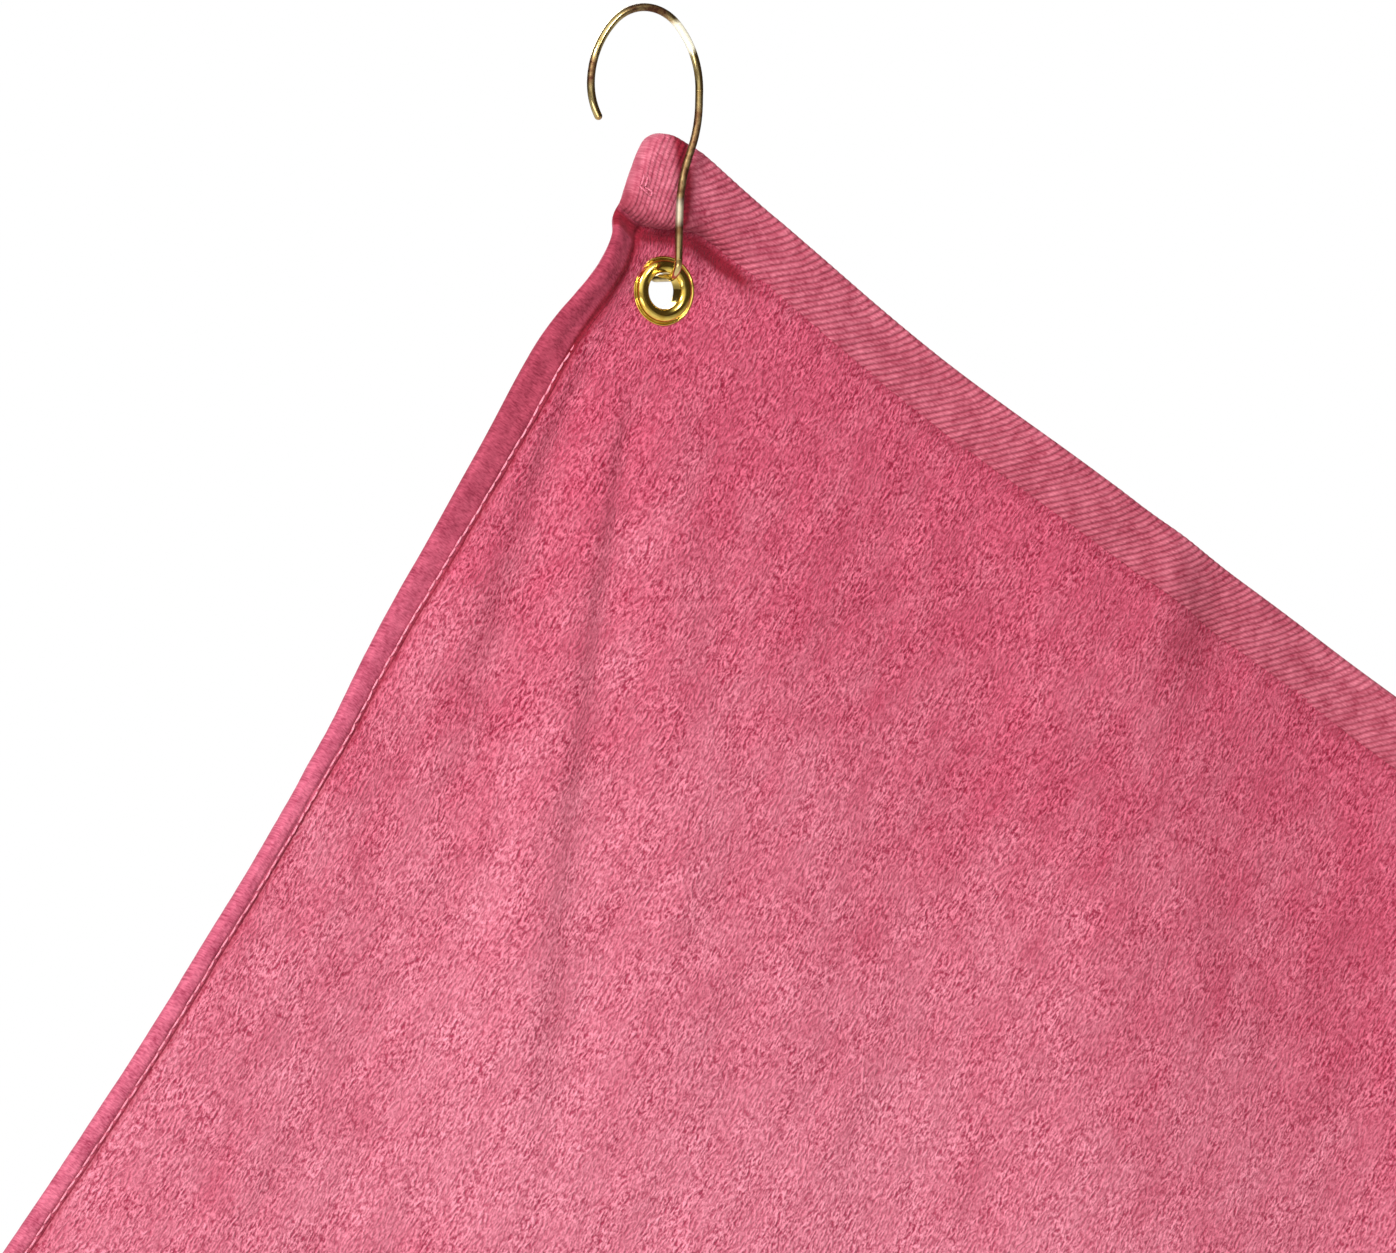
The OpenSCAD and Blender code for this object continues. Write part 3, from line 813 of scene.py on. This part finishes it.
def all_seams():
    """The needle and bobbin threads that hold the four hems."""
    a_line = np.linspace(30 * MM, TOWEL_LEN - 15 * MM, 300)
    b_line = np.linspace(5 * MM, TOWEL_WID - 5 * MM, 300)
    near = side_seam_inset(a_line)
    surfacing = 0.3 * MM + 1.0 * MM * ramp((a_line - 50 * MM) / (10 * MM))
    far = np.full_like(a_line, TOWEL_WID - SIDE_HEM_W + 1.3 * MM)
    top = crease_edge(b_line) - 1.5 * MM
    bottom = np.full_like(b_line, TOWEL_LEN - END_HEM_W + 1.5 * MM)
    rows = {
        "top_end": (np.stack([top, b_line], axis=-1), SUNK_LIFT, SUNK_THREAD),
        "bottom_end": (np.stack([bottom, b_line], axis=-1), SUNK_LIFT, SUNK_THREAD),
        "left_side": (np.stack([a_line, near], axis=-1), surfacing, THREAD),
        "right_side": (np.stack([a_line, far], axis=-1), ROLL_LIFT, THREAD),
    }
    made = []
    for part, side in (("needle", 1), ("bobbin", -1)):
        for edge, (line, height, material) in rows.items():
            name = f"{edge}_{part}_stitches"
            made.append(stitches(name, f"{edge}_{part}_thread", line, height, side, material))
    return made


def bartack():
    """The doubled back-tack that squares off the hanging corner's seam."""
    corner = np.array([[12.8, 1.6], [16.6, 1.6], [16.6, 4.6], [15.6, 4.6], [15.6, 2.4], [12.8, 2.4]]) * MM
    legs = [np.linspace(corner[i], corner[i + 1], 12) for i in range(len(corner) - 1)]
    on_corner = END_HEM_T / 2 + 2.2 * MM
    return stitches("corner_bartack_stitches", "corner_bartack_thread", np.concatenate(legs),
                    on_corner, 1, HEM_THREAD)


# ---------------------------------------------------------------- the grommet
# radii in mm: the roll's and the back lip's middle and size, the bore and the shank around it
ROLL_MID, ROLL_R = 5.62, 1.47
LIP_MID, LIP_R = 4.78, 0.63
BORE_R = 4.15
SHANK_R = 4.6


def eyelet():
    """The pressed brass eyelet: a domed roll, a groove, a thin brim and the curled back lip."""
    # radius and depth in mm: the roll, the bore, the curled back lip, the shank's outside, and the brim
    profile = []
    for t in np.linspace(0, math.pi, 22):
        profile.append((ROLL_MID + ROLL_R * math.cos(t), -1.12 - 1.13 * math.sin(t) ** 0.85))
    profile += [(BORE_R, -0.6), (BORE_R, 0.4), (BORE_R, 1.3)]
    for t in np.linspace(0, math.pi, 12):
        profile.append((LIP_MID - LIP_R * math.cos(t), 1.72 + LIP_R * math.sin(t)))
    profile += [(5.0, 1.62), (SHANK_R, 1.55), (SHANK_R, 0.4), (SHANK_R, -0.55), (5.2, -0.72), (7.4, -0.75)]
    profile += [(7.88, -0.82), (7.95, -0.98), (7.9, -1.2), (7.72, -1.3), (7.5, -1.24)]
    profile += [(7.32, -1.02), (7.18, -0.98)]
    profile = np.array(profile) * MM
    count, sides = len(profile), 144
    turn = np.linspace(0, 2 * math.pi, sides + 1)[:-1]
    local = np.random.default_rng(5)
    wobble = 1 + 0.004 * np.sin(3 * turn + 1) + 0.003 * np.sin(7 * turn) + 0.0015 * local.normal(size=sides)
    radius = profile[None, :, 0] * np.where(profile[None, :, 0] > 5 * MM, wobble[:, None], 1)
    points = np.stack([GROMMET[0] + radius * np.cos(turn)[:, None],
                       np.broadcast_to(GROMMET[1] + profile[None, :, 1], radius.shape),
                       GROMMET[2] + radius * np.sin(turn)[:, None]], axis=-1).reshape(-1, 3)
    faces = []
    for i in range(sides):
        for k in range(count):
            p, q = i * count + k, i * count + (k + 1) % count
            r, s = ((i + 1) % sides) * count + (k + 1) % count, ((i + 1) % sides) * count + k
            faces.append((p, q, r, s))
    piece = make_piece("brass_eyelet", points, faces, BRASS)
    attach(piece, "grommet")
    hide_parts("grommet_eyelet")
    return piece


# ---------------------------------------------------------------- stage, light and camera
FLOOR_DROP = 25 * MM
FLOOR_HALF = 6.0
LIT_BELOW = 90 * MM  # the lights face a point this far under the grommet


def stage_material(name, colour):
    s = Shader(name)
    s.set(Base_Color=colour, Roughness=0.9, Specular_IOR_Level=0.1)
    return s.material


def floor():
    low = CAD_BOX[0][2] - FLOOR_DROP
    corners = [(x * FLOOR_HALF, y * FLOOR_HALF, low) for x, y in ((-1, -1), (1, -1), (1, 1), (-1, 1))]
    material = stage_material("pale_floor", (0.86, 0.86, 0.86, 1))
    piece = make_piece("studio_floor", corners, [(0, 1, 2, 3)], material)


def area_light(name, azimuth, elevation, distance, size, power):
    """A softbox that faces the towel from azimuth and elevation, in degrees."""
    az, el = math.radians(azimuth), math.radians(elevation)
    back = np.array([math.sin(az) * math.cos(el), -math.cos(az) * math.cos(el), math.sin(el)])
    target = GROMMET + np.array([0, 0, -LIT_BELOW])
    data = bpy.data.lights.new(name, "AREA")
    data.shape = "RECTANGLE"
    data.size, data.size_y = size
    data.energy = power
    lamp = bpy.data.objects.new(name, data)
    bpy.context.scene.collection.objects.link(lamp)
    lamp.location = target + back * distance
    lamp.rotation_euler = Vector(-back).to_track_quat("-Z", "Y").to_matrix().to_euler()


def world():
    """A white backdrop for the camera, and a dim room that lights and mirrors in the metal."""
    scene_world = bpy.data.worlds.new("studio")
    bpy.context.scene.world = scene_world
    scene_world.use_nodes = True
    nodes, links = scene_world.node_tree.nodes, scene_world.node_tree.links
    nodes.clear()
    out = nodes.new("ShaderNodeOutputWorld")
    seen = nodes.new("ShaderNodeBackground")
    seen.inputs["Color"].default_value = (1, 1, 1, 1)
    lit = nodes.new("ShaderNodeBackground")
    lit.inputs["Strength"].default_value = 1.0
    # the room around the set: dim and warm, with one broad window up to the left
    direction = nodes.new("ShaderNodeTexCoord").outputs["Generated"]
    window = nodes.new("ShaderNodeVectorMath")
    window.operation = "DOT_PRODUCT"
    links.new(direction, window.inputs[0])
    window.inputs[1].default_value = (-0.62, -0.62, 0.48)
    glow = nodes.new("ShaderNodeMapRange")
    glow.interpolation_type = "SMOOTHSTEP"
    links.new(window.outputs["Value"], glow.inputs["Value"])
    glow.inputs["From Min"].default_value = 0.45
    glow.inputs["From Max"].default_value = 0.98
    mix_room = nodes.new("ShaderNodeMix")
    mix_room.data_type = "RGBA"
    links.new(glow.outputs[0], mix_room.inputs[0])
    mix_room.inputs[6].default_value = (0.06, 0.045, 0.036, 1)
    mix_room.inputs[7].default_value = (1.3, 1.27, 1.22, 1)
    links.new(mix_room.outputs[2], lit.inputs["Color"])
    path = nodes.new("ShaderNodeLightPath")
    mix = nodes.new("ShaderNodeMixShader")
    links.new(path.outputs["Is Camera Ray"], mix.inputs[0])
    links.new(lit.outputs[0], mix.inputs[1])
    links.new(seen.outputs[0], mix.inputs[2])
    links.new(mix.outputs[0], out.inputs[0])


# where the photo is taken from: its turn and roll in degrees, how far away, how wide the picture is at the
# grommet, and which point it looks at, from the grommet
VIEW_YAW = -30.0
VIEW_ROLL = 1.2
VIEW_DISTANCE = 2.4
VIEW_WIDTH = 316.9 * MM
LOOK_RIGHT = 8.3 * MM
LOOK_DOWN = 76.2 * MM
SENSOR_MM = 36


def camera():
    yaw = math.radians(VIEW_YAW)
    back = np.array([math.sin(yaw), -math.cos(yaw), 0])
    right = np.array([math.cos(yaw), math.sin(yaw), 0])
    up = np.array([0, 0, 1.0])
    roll = math.radians(VIEW_ROLL)
    right_r = right * math.cos(roll) + up * math.sin(roll)
    up_r = up * math.cos(roll) - right * math.sin(roll)
    target = GROMMET + right_r * LOOK_RIGHT - up_r * LOOK_DOWN
    data = bpy.data.cameras.new("photo_camera")
    data.sensor_width = SENSOR_MM
    data.lens = SENSOR_MM * VIEW_DISTANCE / VIEW_WIDTH
    data.clip_start, data.clip_end = 0.05, 50
    cam = bpy.data.objects.new("photo_camera", data)
    bpy.context.scene.collection.objects.link(cam)
    matrix = Matrix.Identity(4)
    for i, axis in enumerate((right_r, up_r, back)):
        for k in range(3):
            matrix[k][i] = axis[k]
    location = target + back * VIEW_DISTANCE
    for k in range(3):
        matrix[k][3] = location[k]
    cam.matrix_world = matrix
    bpy.context.scene.camera = cam


# ---------------------------------------------------------------- build
camera()
world()
floor()
# name, azimuth, elevation, metres away, metres across and high, watts
area_light("key_softbox", -54, 32, 1.1, (0.22, 0.22), 9.6)
area_light("front_fill", 4, 30, 1.6, (0.4, 0.4), 8.0)
area_light("low_fill", -40, -20, 1.5, (1.2, 0.25), 5.0)
area_light("back_fill", 170, 30, 1.8, (1.0, 1.0), 30)

panel = pile_panel()
hems = [
    end_hem("top_end_twill", "top_end_hem", False),
    end_hem("bottom_end_twill", "bottom_end_hem", True),
    side_hem("left_side_roll", "left_side_hem", False),
    side_hem("right_side_roll", "right_side_hem", True),
]
threads = all_seams() + [bartack()]
brass = eyelet()

for node, metal in (("hook_wire", GOLD), ("grommet_washer", BRASS)):
    data = frame["nodes"][node].data
    data.materials.clear()
    data.materials.append(metal)

bpy.context.scene.view_settings.view_transform = "Standard"
bpy.context.scene.view_settings.look = "None"
